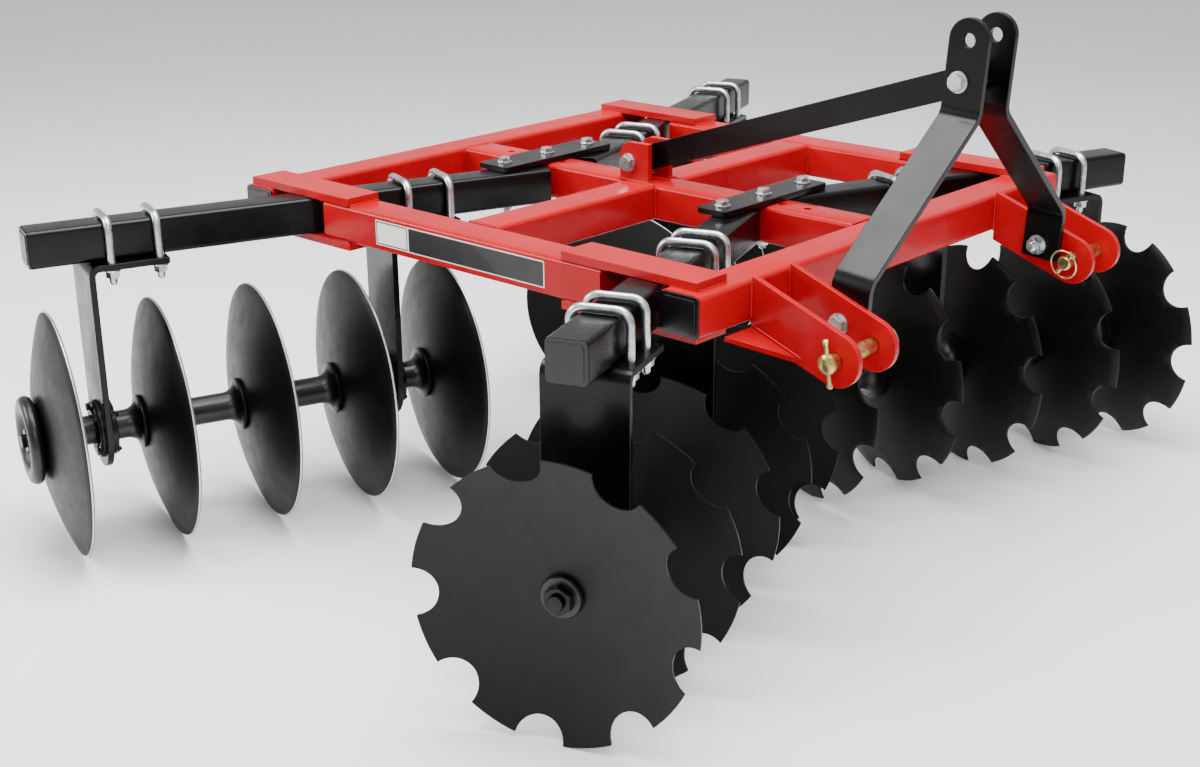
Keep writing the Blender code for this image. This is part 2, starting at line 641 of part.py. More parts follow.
# ---- The whole machine ---------------------------------------------------------------
def centre_on_origin():
    """Puts the middle of the bounding box, at its lowest level, on the origin."""
    bpy.context.view_layer.update()
    corners = [thing.matrix_world @ point.co
               for thing in bpy.data.objects for point in thing.data.vertices]
    middle = (min(p.y for p in corners) + max(p.y for p in corners)) / 2
    lowest = min(p.z for p in corners)
    for thing in bpy.data.objects:
        thing.location -= Vector((0, middle, lowest))


def shade():
    """Smooth shading on round stretches, with crisp edges kept."""
    for thing in bpy.data.objects:
        thing.data.shade_smooth()
        thing.data.set_sharp_from_angle(angle=math.radians(35))


def main():
    for thing in list(bpy.data.objects):
        bpy.data.objects.remove(thing)
    rails()
    splice("front_splice", FRONT_CROSSING, FRONT_SPLICE_SHIFT, FRONT_SPLICE_WIDTH)
    splice("rear_splice", REAR_CROSSING, REAR_SPLICE_SHIFT, REAR_SPLICE_WIDTH)
    hitch()
    for hand, side in SIDES.items():
        strap("mast_strap_" + hand, side)
    brace()
    gangs()
    centre_on_origin()
    shade()


main()
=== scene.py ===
"""Looks of a three-point tandem disc harrow, built round its CAD frame.

Units are metres and degrees, in the CAD frame: +X to the machine's left-hand side, +Y to
the rear, +Z up.  Rolled and tube pieces are finished copies of their CAD nodes; discs,
spools, fasteners, welds and plates are modelled here.
"""
import json
import math
import random

import bpy
from mathutils import Matrix, Vector


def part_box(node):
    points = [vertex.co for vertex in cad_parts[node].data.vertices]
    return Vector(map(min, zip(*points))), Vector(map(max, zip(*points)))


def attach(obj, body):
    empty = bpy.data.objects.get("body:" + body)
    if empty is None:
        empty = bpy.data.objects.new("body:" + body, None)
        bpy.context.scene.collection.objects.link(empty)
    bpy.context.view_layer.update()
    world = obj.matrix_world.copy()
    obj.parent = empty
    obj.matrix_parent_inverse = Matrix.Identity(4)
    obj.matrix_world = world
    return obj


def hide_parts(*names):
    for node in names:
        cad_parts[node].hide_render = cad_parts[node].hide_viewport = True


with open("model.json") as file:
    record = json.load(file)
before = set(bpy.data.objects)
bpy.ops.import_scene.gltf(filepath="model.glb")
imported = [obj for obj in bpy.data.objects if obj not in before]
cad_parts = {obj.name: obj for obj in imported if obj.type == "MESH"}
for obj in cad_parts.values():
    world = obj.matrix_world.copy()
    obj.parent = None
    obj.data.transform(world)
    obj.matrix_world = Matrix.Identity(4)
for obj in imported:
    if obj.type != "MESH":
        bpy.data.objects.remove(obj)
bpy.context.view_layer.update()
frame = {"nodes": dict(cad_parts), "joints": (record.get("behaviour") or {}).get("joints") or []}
random.seed(7)

# ---- Places read from the frame ----
RAIL_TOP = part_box("cross_rail_left")[1][2]
RAIL_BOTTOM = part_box("cross_rail_left")[0][2]
FRONT_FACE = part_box("front_rail")[0][1]
REAR_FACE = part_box("rear_rail")[1][1]
MIDDLE = (FRONT_FACE + REAR_FACE) / 2
HALF_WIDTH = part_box("side_rail_left")[1][0]
RAIL_WIDTH = HALF_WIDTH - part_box("side_rail_left")[0][0]
RAIL_HEIGHT = RAIL_TOP - RAIL_BOTTOM
SIDES = {"right": -1, "left": 1}
ENDS = {"front": -1, "rear": 1}

# ---- Driving sizes, as in the CAD model ----
BEAM_SIZE = 0.0762
BAR = 0.0127                 # flat bar of hitch, hangers, lugs and splices
AXLE_DROP = 0.440            # rail top to axle
DISC_RADIUS = 0.254
DISC_THICKNESS = 0.005
DISH_DEPTH = 0.048
SEAT_RADIUS = 0.058
HOLE_RADIUS = 0.0185
SPACING = {"front": 0.218, "rear": 0.210}
BEAM_TIP = {"front": 2 * SPACING["front"] - 0.0556,     # outward from the middle disc
            "rear": 2 * SPACING["rear"] + 0.0315}
OFFSET = {"front": 0.008, "rear": 0.014}
HANGER_SHIFT = {"front": 0.0136, "rear": -0.013}
HANGER_BAYS = {"front": (1, 3), "rear": (0, 3)}
U_BOLT_SETBACKS = {"front": (0.051, 0.123), "rear": (0.049, 0.144)}
NOTCHES = 9
NOTCH_RADIUS = 0.0444
NOTCH_CENTRE_OUTSET = 0.002
OUTER_LOBE_ANGLE = 3.7
LOBE_STEP = 15.0
AXLE_RADIUS = 0.018
SPOOL_RADIUS = 0.030
COLLAR_RADIUS = 0.056
COLLAR_LENGTH = 0.035
BUMPER_RADIUS = 0.0915
BUMPER_THICKNESS = 0.030
BUMPER_SEAT = 0.36           # the nut's seat in the bumper, as a share of its thickness
END_WASHER_RADIUS = 0.038
END_WASHER_THICKNESS = 0.012
NUT_LENGTH = 0.024
SEAT_GAP = 0.0003

# ---- Fasteners ----
U_BOLT_ROD = 0.0079          # radius of the five-eighths rod
U_BOLT_HALF_GAP = 0.0535     # leg from the beam's centre line
U_BOLT_BEND = 0.024
U_BOLT_LEG = 0.030           # leg below the flange
U_BOLT_WASHER_RADIUS = 0.0165
U_BOLT_WASHER_THICKNESS = 0.0026
U_BOLT_NUT_FLATS = 0.0238
U_BOLT_NUT_HEIGHT = 0.0137
AXLE_NUT_FLATS = 0.046
HEX_RATIO = 1.155            # across corners to across flats
SPLICE_BOLT_SIZE = 0.016
SPLICE_BOLT_PITCH = 0.135

# ---- Bearing housings ----
HOUSING_BORE = SPOOL_RADIUS + 0.0012
HOUSING_RIM = 0.0605
HOUSING_OUTER_REACH = 0.0125
HOUSING_INNER_REACH = 0.0185
HOUSING_BOLT_SIZE = 0.0095
HOUSING_BOLT_CIRCLE = 0.0525

# ---- Turned places ----
ALONG_X = Matrix(((0, 0, 1, 0), (1, 0, 0, 0), (0, 1, 0, 0), (0, 0, 0, 1)))
ALONG_MINUS_Y = Matrix(((1, 0, 0, 0), (0, 0, -1, 0), (0, 1, 0, 0), (0, 0, 0, 1)))
TURNED_OVER = Matrix.Rotation(math.pi, 4, 'X')


# ---- Colours and nodes ----
def colour(code, alpha=1.0):
    """Linear RGBA from an sRGB hex code."""
    values = [int(code[i:i + 2], 16) / 255 for i in (1, 3, 5)]
    linear = [v / 12.92 if v <= 0.04045 else ((v + 0.055) / 1.055) ** 2.4 for v in values]
    return (*linear, alpha)


def add(tree, kind, settings=None, inputs=None):
    """Adds a node with its settings; an input is a value or another node's output."""
    made = tree.nodes.new(kind)
    for name, value in (settings or {}).items():
        setattr(made, name, value)
    for name, value in (inputs or {}).items():
        if isinstance(value, bpy.types.NodeSocket):
            tree.links.new(value, made.inputs[name])
        else:
            made.inputs[name].default_value = value
    return made


def start_material(name, settings):
    """A material with its shader's plain values set, and its Object coordinates."""
    material = bpy.data.materials.new(name)
    material.use_nodes = True
    tree = material.node_tree
    shader = tree.nodes["Principled BSDF"]
    for key, value in settings.items():
        shader.inputs[key].default_value = value
    place = add(tree, "ShaderNodeTexCoord").outputs["Object"]
    return material, tree, shader, place


def ramp(tree, factor, stops):
    """A colour ramp from (position, colour) stops."""
    made = add(tree, "ShaderNodeValToRGB", None, {"Fac": factor})
    elements = made.color_ramp.elements
    while len(elements) < len(stops):
        elements.new(0.5)
    for element, (position, value) in zip(elements, stops):
        element.position = position
        element.color = value
    return made.outputs["Color"]


def grey(value):
    """A neutral linear RGBA."""
    return (value, value, value, 1.0)


def noise(tree, place, size, detail=2.0, roughness=0.5):
    """Noise whose blotches are about the given size in metres."""
    made = add(tree, "ShaderNodeTexNoise", None,
               {"Vector": place, "Scale": 0.5 / size, "Detail": detail, "Roughness": roughness})
    return made.outputs["Fac"]


def bump(tree, height, distance, strength=1.0, below=None):
    """A bump of the given height in metres, over another normal if there is one."""
    inputs = {"Height": height, "Distance": distance, "Strength": strength}
    if below:
        inputs["Normal"] = below
    return add(tree, "ShaderNodeBump", None, inputs).outputs["Normal"]


# ---- Materials ----
def sprayed_enamel(name, deep, bright, sheen, coat):
    """Air-sprayed machinery enamel: a deep gloss with fine orange peel and small runs."""
    material, tree, shader, place = start_material(name, {
        "IOR": 1.5, "Specular IOR Level": sheen, "Coat Weight": coat, "Coat Roughness": 0.06,
        "Coat IOR": 1.45})
    drift = noise(tree, place, 0.12, 3.0)
    tint = ramp(tree, drift, [(0.30, colour(deep)), (0.70, colour(bright))])
    tree.links.new(tint, shader.inputs["Base Color"])
    haze = noise(tree, place, 0.035, 4.0)
    gloss = ramp(tree, haze, [(0.25, grey(0.22)), (0.80, grey(0.36))])
    tree.links.new(gloss, shader.inputs["Roughness"])
    peel = bump(tree, noise(tree, place, 0.0022), 0.00006, 0.55)
    waves = bump(tree, noise(tree, place, 0.016, 1.0), 0.00022, 0.5, peel)
    tree.links.new(waves, shader.inputs["Normal"])
    tree.links.new(waves, shader.inputs["Coat Normal"])
    return material


def dipped_disc_steel():
    """Heat-treated boron steel dipped in thin black: a low green-grey sheen with flow marks."""
    material, tree, shader, place = start_material("dipped_disc_steel", {
        "Metallic": 0.0, "IOR": 1.5, "Specular IOR Level": 0.24})
    mottled = noise(tree, place, 0.060, 5.0, 0.6)
    tint = ramp(tree, mottled, [(0.30, colour("#040504")), (0.55, colour("#060806")),
                                (0.80, colour("#0b0f0b"))])
    tree.links.new(tint, shader.inputs["Base Color"])
    flow = noise(tree, place, 0.018, 6.0, 0.65)
    gloss = ramp(tree, flow, [(0.25, grey(0.34)), (0.80, grey(0.52))])
    tree.links.new(gloss, shader.inputs["Roughness"])
    scale = bump(tree, noise(tree, place, 0.0030, 4.0), 0.00008, 0.5)
    rolled = bump(tree, noise(tree, place, 0.050, 2.0), 0.00060, 0.35, scale)
    tree.links.new(rolled, shader.inputs["Normal"])
    return material


def ground_edge_and_painted_highlight():
    """The disc's ground cutting edge: bare steel with a cross grain, under a film of oil; its
    near-white colour also paints in the highlight that the rim catches.
    """
    material, tree, shader, place = start_material("ground_edge_and_painted_highlight", {"Metallic": 0.75})
    streak = noise(tree, place, 0.0015, 3.0)
    # near-white tint: partly bare steel, partly a painted highlight along the rim's edge
    tint = ramp(tree, streak, [(0.25, colour("#b9bdbb")), (0.80, colour("#eef0ef"))])
    tree.links.new(tint, shader.inputs["Base Color"])
    gloss = ramp(tree, streak, [(0.20, grey(0.26)), (0.85, grey(0.42))])
    tree.links.new(gloss, shader.inputs["Roughness"])
    tree.links.new(bump(tree, streak, 0.00005, 0.5), shader.inputs["Normal"])
    return material


def painted_casting():
    """Sand-cast iron under black paint: a fine pebble grain that softens the gloss."""
    material, tree, shader, place = start_material("painted_casting", {
        "IOR": 1.5, "Specular IOR Level": 0.40, "Coat Weight": 0.10, "Coat Roughness": 0.18})
    patch = noise(tree, place, 0.030, 3.0)
    tint = ramp(tree, patch, [(0.30, colour("#030304")), (0.75, colour("#08090a"))])
    tree.links.new(tint, shader.inputs["Base Color"])
    gloss = ramp(tree, patch, [(0.25, grey(0.30)), (0.80, grey(0.46))])
    tree.links.new(gloss, shader.inputs["Roughness"])
    grain = bump(tree, noise(tree, place, 0.0018, 4.0, 0.6), 0.00025, 0.6)
    swell = bump(tree, noise(tree, place, 0.012, 2.0), 0.00050, 0.4, grain)
    tree.links.new(swell, shader.inputs["Normal"])
    return material


def zinc_plate(name, dull, mid, bright, rough):
    """Electroplated zinc on steel: metallic, softly mottled by its passivation."""
    material, tree, shader, place = start_material(name, {"Metallic": 1.0})
    cloud = noise(tree, place, 0.010, 4.0, 0.6)
    tint = ramp(tree, cloud, [(0.28, colour(dull)), (0.50, colour(mid)), (0.72, colour(bright))])
    tree.links.new(tint, shader.inputs["Base Color"])
    grain = noise(tree, place, 0.004, 3.0)
    gloss = ramp(tree, grain, [(0.25, grey(rough)), (0.80, grey(rough + 0.16))])
    tree.links.new(gloss, shader.inputs["Roughness"])
    tree.links.new(bump(tree, noise(tree, place, 0.0012, 2.0), 0.00004, 0.5), shader.inputs["Normal"])
    return material


def printed_vinyl(name, dark, light):
    """Calendered vinyl sheet: flat colour with a slight satin ripple."""
    material, tree, shader, place = start_material(name, {"IOR": 1.46, "Coat Weight": 0.15})
    tint = ramp(tree, noise(tree, place, 0.05, 2.0), [(0.3, colour(dark)), (0.7, colour(light))])
    tree.links.new(tint, shader.inputs["Base Color"])
    gloss = ramp(tree, noise(tree, place, 0.01, 2.0), [(0.3, grey(0.30)), (0.7, grey(0.40))])
    tree.links.new(gloss, shader.inputs["Roughness"])
    tree.links.new(bump(tree, noise(tree, place, 0.006, 2.0), 0.00004, 0.4), shader.inputs["Normal"])
    return material


RED_ENAMEL = sprayed_enamel("red_enamel", "#a0000f", "#b40013", 0.14, 0.10)
BLACK_ENAMEL = sprayed_enamel("black_enamel", "#020202", "#040405", 0.22, 0.07)
DISC_STEEL = dipped_disc_steel()
# the rim band's material: bare ground steel, with a painted highlight in its near-white colour
EDGE_STEEL_AND_PAINTED_HIGHLIGHT = ground_edge_and_painted_highlight()
CASTING = painted_casting()
ZINC = zinc_plate("clear_zinc_plate", "#a9b0b3", "#c9cfd1", "#e4e8e8", 0.24)
MOULDED_PLUG = printed_vinyl("moulded_polythene_plug", "#08080a", "#0e0e10")
YELLOW_ZINC = zinc_plate("yellow_zinc_plate", "#a58f4c", "#cdb978", "#e2d6ab", 0.24)
WHITE_VINYL = printed_vinyl("white_vinyl", "#dcdcd8", "#ecece8")
BLACK_VINYL = printed_vinyl("black_vinyl", "#141315", "#201e20")


# ---- Modelling helpers ----
def only(piece):
    """Selects one piece alone and makes it active."""
    bpy.ops.object.select_all(action='DESELECT')
    piece.select_set(True)
    bpy.context.view_layer.objects.active = piece


def settle(piece, place):
    """Moves a piece to its place and puts that place in its mesh."""
    only(piece)
    piece.matrix_world = place @ piece.matrix_world
    bpy.ops.object.transform_apply(location=True, rotation=True, scale=True)
    return piece


def edit(piece, action):
    """Runs one edit on the whole mesh of a piece."""
    only(piece)
    bpy.ops.object.mode_set(mode='EDIT')
    bpy.ops.mesh.select_mode(type='VERT')
    bpy.ops.mesh.select_all(action='SELECT')
    action()
    bpy.ops.object.mode_set(mode='OBJECT')


def modify(piece, kind, **settings):
    """Adds a modifier, sets it and applies it."""
    only(piece)
    bpy.ops.object.modifier_add(type=kind)
    modifier = piece.modifiers[-1]
    for name, value in settings.items():
        setattr(modifier, name, value)
    bpy.ops.object.modifier_apply(modifier=modifier.name)


def modify_boolean(piece, tool, operation):
    """Cuts, joins or intersects a piece with a tool, which is used up."""
    modifier = piece.modifiers.new("cut", 'BOOLEAN')
    modifier.operation = operation
    modifier.solver = 'EXACT'
    modifier.object = tool
    only(piece)
    bpy.ops.object.modifier_apply(modifier=modifier.name)
    bpy.data.objects.remove(tool)


def smooth(piece, angle=50):
    """Smooth shading, apart from edges sharper than an angle in degrees."""
    only(piece)
    bpy.ops.object.shade_smooth_by_angle(angle=math.radians(angle))


def round_edges(piece, width, segments=2, limit=60, **more):
    """Rounds over sharp edges and keeps the flats flat in the shading."""
    modify(piece, 'BEVEL', width=width, segments=segments, limit_method='ANGLE',
           angle_limit=math.radians(limit), use_clamp_overlap=True, **more)
    smooth(piece)
    modify(piece, 'WEIGHTED_NORMAL', keep_sharp=True)


def dress(piece, name, material, body):
    """Names a piece, gives it its material and hangs it on its body."""
    piece.name = name
    piece.data.name = name
    piece.data.materials.clear()
    piece.data.materials.append(material)
    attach(piece, body)
    return piece


def joined(pieces):
    """Joins pieces into the first."""
    bpy.ops.object.select_all(action='DESELECT')
    for piece in pieces:
        piece.select_set(True)
    bpy.context.view_layer.objects.active = pieces[0]
    if len(pieces) > 1:
        bpy.ops.object.join()
    return bpy.context.view_layer.objects.active


def copy_of(piece):
    """A copy with its own mesh."""
    twin = piece.copy()
    twin.data = piece.data.copy()
    bpy.context.collection.objects.link(twin)
    return twin


def cylinder(radius, low, high, sides=32, place=Matrix.Identity(4)):
    """A round bar along its own Z between two heights."""
    bpy.ops.object.select_all(action='DESELECT')
    bpy.ops.mesh.primitive_cylinder_add(vertices=sides, radius=radius, depth=high - low,
                                        location=(0, 0, (low + high) / 2))
    return settle(bpy.context.object, place)


def block(low, high):
    """A box between two corners."""
    low, high = Vector(low), Vector(high)
    bpy.ops.object.select_all(action='DESELECT')
    bpy.ops.mesh.primitive_cube_add(size=1, location=(low + high) / 2)
    made = bpy.context.object
    made.scale = high - low
    bpy.ops.object.transform_apply(location=True, rotation=True, scale=True)
    return made


def line_of(points, closed):
    """A line through points, as a curve."""
    curve = bpy.data.curves.new("line", 'CURVE')
    curve.dimensions = '3D'
    line = curve.splines.new('POLY')
    line.points.add(len(points) - 1)
    for spot, point in zip(line.points, points):
        spot.co = (*point, 1.0)
    line.use_cyclic_u = closed
    made = bpy.data.objects.new("line", curve)
    bpy.context.collection.objects.link(made)
    return made


def to_mesh(made):
    """Turns a curve into a mesh."""
    only(made)
    bpy.ops.object.convert(target='MESH')
    return bpy.context.object


def spun(profile, steps, closed=True):
    """Spins (radius, height) points about Z; a closed profile makes a ring."""
    piece = to_mesh(line_of([(radius, 0, height) for radius, height in profile], closed))

    def turn():
        bpy.ops.mesh.spin(steps=steps, angle=math.tau, center=(0, 0, 0), axis=(0, 0, 1))
        bpy.ops.mesh.select_all(action='SELECT')
        bpy.ops.mesh.remove_doubles(threshold=0.00001)
        bpy.ops.mesh.normals_make_consistent(inside=False)

    edit(piece, turn)
    return piece


def swept(points, radius, sides=12, closed=False):
    """A round rod along a line of points, with closed ends."""
    made = line_of(points, closed)
    made.data.bevel_depth = radius
    made.data.bevel_resolution = max(sides // 4 - 1, 0)
    made.data.use_fill_caps = not closed
    made = to_mesh(made)
    edit(made, lambda: bpy.ops.mesh.remove_doubles(threshold=0.00001))
    return made


def slab(outline, low, high, place):
    """A flat outline given thickness along the place's Z."""
    made = line_of([(a, b, (low + high) / 2) for a, b in outline], True)
    made.data.dimensions = '2D'
    made.data.fill_mode = 'BOTH'
    made.data.extrude = (high - low) / 2
    made = to_mesh(made)

    def close():
        bpy.ops.mesh.remove_doubles(threshold=0.00001)
        bpy.ops.mesh.dissolve_limited(angle_limit=math.radians(0.5))
        bpy.ops.mesh.normals_make_consistent(inside=False)

    edit(made, close)
    made.data.transform(Matrix.Translation((0, 0, (low + high) / 2)))
    return settle(made, place)


def arc(centre, radius, start, end, steps):
    """Points on an arc between two angles in degrees."""
    points = []
    for i in range(steps + 1):
        angle = math.radians(start + (end - start) * i / steps)
        points.append((centre[0] + radius * math.cos(angle), centre[1] + radius * math.sin(angle)))
    return points


def facing(point, direction):
    """A place at a point whose Z looks along a direction."""
    turn = Vector(direction).to_track_quat('Z', 'Y').to_matrix().to_4x4()
    return Matrix.Translation(point) @ turn


# ---- Finished copies of CAD nodes ----
def finished(name, material, width=0.0012, segments=2):
    """A copy of a CAD node with its edges rounded over, which stands for it."""
    source = frame["nodes"][name]
    piece = bpy.data.objects.new(name + "_finished", source.data.copy())
    bpy.context.collection.objects.link(piece)

    def weld():
        bpy.ops.mesh.remove_doubles(threshold=0.00002)
        bpy.ops.mesh.dissolve_limited(angle_limit=math.radians(1.0))

    edit(piece, weld)
    round_edges(piece, width, segments)
    dress(piece, name + "_finished", material, "frame")
    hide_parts(name)
    return piece


def rolled_steel():
    """The red weldment and the black beams, straps and hangers."""
    red = ["front_rail", "rear_rail", "centre_rail"]
    black = ["front_splice", "rear_splice", "brace_bar"]
    for hand in SIDES:
        red += [part + hand for part in ("side_rail_", "cross_rail_", "brace_lug_")]
        black += ["front_beam_" + hand, "rear_beam_" + hand]
        black += ["{}_hanger_{}_{}".format(end, hand, i) for end in ENDS for i in (1, 2)]
    for name in red:
        finished(name, RED_ENAMEL)
    for name in black:
        finished(name, BLACK_ENAMEL)


# ---- Fasteners ----
def hex_head(flats, height, place):
    """A hexagon with its corners turned off on the outer face."""
    corner = flats / 2 * HEX_RATIO
    head = cylinder(corner, 0, height, 6)
    slope = math.tan(math.radians(30))
    face = flats / 2 * 0.97
    deep = corner * 1.4
    profile = [(0, height + 0.0001), (face, height + 0.0001),
               (deep, height - (deep - face) * slope), (deep, -0.001), (0, -0.001)]
    cone = spun(profile, 40, closed=False)
    modify_boolean(head, cone, 'INTERSECT')
    return settle(head, place)


def threaded_end(radius, low, high, place):
    """A screw's end with its thread crests, as rings a pitch apart."""
    pitch = radius * 0.32
    root = radius * 0.88
    profile = [(0, low)]
    height = low
    while height + pitch < high:
        profile += [(root, height), (radius, height + pitch / 2)]
        height += pitch
    profile += [(root, height), (radius * 0.72, high), (0, high)]
    return settle(spun(profile, 16, closed=False), place)


def bolt(size, grip, place):
    """A hex bolt with washers and nut through a grip, its head at the place's origin."""
    flats = size * 1.5
    washer = size * 0.16
    lift = Matrix.Translation((0, 0, washer))
    back = place @ Matrix.Translation((0, 0, -grip)) @ TURNED_OVER
    parts = [cylinder(size * 1.05, 0, washer, 32, place),
             hex_head(flats, size * 0.62, place @ lift),
             cylinder(size * 1.05, 0, washer, 32, back),
             hex_head(flats, size * 0.82, back @ lift),
             threaded_end(size / 2, 0, size * 1.35, back @ lift)]
    piece = joined(parts)
    round_edges(piece, size * 0.025, 1, 50)
    return piece


def u_bolt(place, flange_depth):
    """A square-bent U-bolt over a beam, its nuts and thread ends under the hanger flange.

    The place's origin is on the beam's centre line at rail top level, X across the beam.
    """
    reach = U_BOLT_HALF_GAP
    crown = U_BOLT_ROD + SEAT_GAP
    bend = U_BOLT_BEND
    foot = -flange_depth - U_BOLT_LEG + 0.004
    outline = [(-reach, foot)] + arc((-reach + bend, crown - bend), bend, 180, 90, 6)
    outline += arc((reach - bend, crown - bend), bend, 90, 0, 6) + [(reach, foot)]
    parts = [swept([(x, 0, z) for x, z in outline], U_BOLT_ROD, 16)]
    washer = U_BOLT_WASHER_THICKNESS
    for side in SIDES.values():
        under = Matrix.Translation((side * reach, 0, -flange_depth)) @ TURNED_OVER
        on_washer = under @ Matrix.Translation((0, 0, washer))
        parts.append(cylinder(U_BOLT_WASHER_RADIUS, 0, washer, 24, under))
        parts.append(hex_head(U_BOLT_NUT_FLATS, U_BOLT_NUT_HEIGHT, on_washer))
        parts.append(threaded_end(U_BOLT_ROD * 0.97, 0.014, U_BOLT_LEG + 0.0002, under))
    piece = joined(parts)
    smooth(piece, 40)
    return settle(piece, place)


# ---- Gangs ----
class Gang:
    """One gang's places, measured outward along its axle from its middle disc."""

    def __init__(self, end, hand):
        self.end = end
        self.hand = hand
        self.side = SIDES[hand]
        self.body = "{}_gang_{}".format(end, hand)
        joint = next(j for j in frame["joints"] if j["child"] == self.body)
        outward = Vector(joint["axis"]).normalized()
        across = Vector((0, 0, 1)).cross(outward)
        self.frame = Matrix((outward, across, (0, 0, 1))).transposed().to_4x4()
        self.frame.translation = joint["pos_m"]
        self.rims = [SPACING[end] * (i - 2) for i in range(5)]
        self.dish = ENDS[end] * DISH_DEPTH
        self.across_beam = -self.side * OFFSET[end]

    def axle(self, distance):
        """A place on the axle whose Z looks outward."""
        return self.frame @ Matrix.Translation((distance, 0, 0)) @ ALONG_X

    def hanger_faces(self):
        """The outer face of each hanger's leg."""
        half = SPACING[self.end] / 2
        shift = HANGER_SHIFT[self.end]
        return [self.rims[bay] + half + self.dish + shift for bay in HANGER_BAYS[self.end]]


def dished_disc(dish, name):
    """A dished disc about its rim plane, flat at the middle, its rim edge crisp."""
    half = DISC_THICKNESS / 2
    rings = 10
    surface = [(HOLE_RADIUS, dish), (SEAT_RADIUS * 0.6, dish)]
    for i in range(rings + 1):
        radius = SEAT_RADIUS + (DISC_RADIUS - SEAT_RADIUS) * i / rings
        rise = (radius ** 2 - SEAT_RADIUS ** 2) / (DISC_RADIUS ** 2 - SEAT_RADIUS ** 2)
        surface.append((radius, dish * (1 - rise)))
    profile = [(radius, height - half) for radius, height in surface]
    profile += [(radius, height + half) for radius, height in surface[::-1]]
    disc = spun(profile, 90)
    disc.name = name
    return disc


def notch(disc):
    """Cuts the round notches in a disc's rim."""
    cutters = []
    for i in range(NOTCHES):
        angle = math.tau * (i + 0.5) / NOTCHES
        reach = DISC_RADIUS + NOTCH_CENTRE_OUTSET
        place = Matrix.Translation((reach * math.cos(angle), reach * math.sin(angle), 0))
        cutters.append(cylinder(NOTCH_RADIUS, -2 * DISH_DEPTH, 2 * DISH_DEPTH, 48, place))
    cutter = joined(cutters)
    modify_boolean(disc, cutter, 'DIFFERENCE')


def sharpen(disc):
    """Grinds the rim: a narrow bare land all round the edge, whose bright steel also paints in the
    rim's highlight.
    """
    disc.data.materials.clear()
    disc.data.materials.append(DISC_STEEL)
    # second slot: bright edge steel, partly a painted highlight on the rim
    disc.data.materials.append(EDGE_STEEL_AND_PAINTED_HIGHLIGHT)
    modify(disc, 'BEVEL', width=0.0019, segments=1, limit_method='ANGLE',
           angle_limit=math.radians(60), use_clamp_overlap=True, material=1)
    smooth(disc, 40)


def discs(gang, model):
    """A gang's five discs, copied from one model; the notched ones step round their axle."""
    for number, rim in enumerate(gang.rims, 1):
        turn = 0.0
        if gang.end == "front":
            turn = OUTER_LOBE_ANGLE + LOBE_STEP * (len(gang.rims) - number)
        node = "{}_disc_{}_{}".format(gang.end, gang.hand, number)
        piece = copy_of(model)
        settle(piece, gang.axle(rim) @ Matrix.Rotation(math.radians(turn), 4, 'Z'))
        piece.name = node + "_ground"
        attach(piece, gang.body)
        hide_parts(node)


def bell(start, length, outward):
    """A spool end's flare, from its face on a disc down to the tube."""
    lip = COLLAR_RADIUS * 0.05
    points = [(COLLAR_RADIUS - lip, start), (COLLAR_RADIUS, start + outward * lip),
              (COLLAR_RADIUS, start + outward * length * 0.20)]
    steps = 7
    for i in range(steps + 1):
        turn = math.radians(90 * i / steps)
        radius = SPOOL_RADIUS + (COLLAR_RADIUS * 0.93 - SPOOL_RADIUS) * (1 - math.sin(turn))
        points.append((radius, start + outward * length * (1.0 - 0.74 * math.cos(turn))))
    return points


def spool(gang, low, high):
    """One cast spool between two disc faces."""
    profile = [(AXLE_RADIUS, low)] + bell(low, COLLAR_LENGTH, 1)
    profile += bell(high, COLLAR_LENGTH, -1)[::-1] + [(AXLE_RADIUS, high)]
    return settle(spun(profile, 40), gang.axle(0))


def bumper(face, outward):
    """The heavy round bumper washer with a rolled rim round a sunk middle."""
    shape = ((0.55, 0), (0.86, 0.06), (0.96, 0.20), (1, 0.45), (0.985, 0.72), (0.93, 0.92), (0.84, 1),
             (0.72, 0.97), (0.62, 0.80), (0.55, 0.50), (0.48, 0.38))
    profile = [(AXLE_RADIUS, face)]
    for out, deep in shape:
        profile.append((BUMPER_RADIUS * out, face + outward * BUMPER_THICKNESS * deep))
    profile.append((AXLE_RADIUS, face + outward * BUMPER_THICKNESS * BUMPER_SEAT))
    return spun(profile, 56)


def end_washer(face, outward):
    """The thick washer at the gang's other end, its rim eased."""
    edge = END_WASHER_RADIUS
    thick = END_WASHER_THICKNESS
    return spun([(AXLE_RADIUS, face), (edge * 0.94, face), (edge, face + outward * thick * 0.25),
                 (edge, face + outward * thick * 0.75), (edge * 0.94, face + outward * thick),
                 (AXLE_RADIUS, face + outward * thick)], 48)


def axle_end(washer_face, outward):
    """Nut and the axle's threaded end outside the washer."""
    place = Matrix.Translation((0, 0, washer_face))
    if outward < 0:
        place = place @ TURNED_OVER
    nut = hex_head(AXLE_NUT_FLATS, NUT_LENGTH * 0.62, place)
    round_edges(nut, 0.0012, 1, 50)
    return [nut, threaded_end(AXLE_RADIUS * 0.82, 0, NUT_LENGTH, place)]


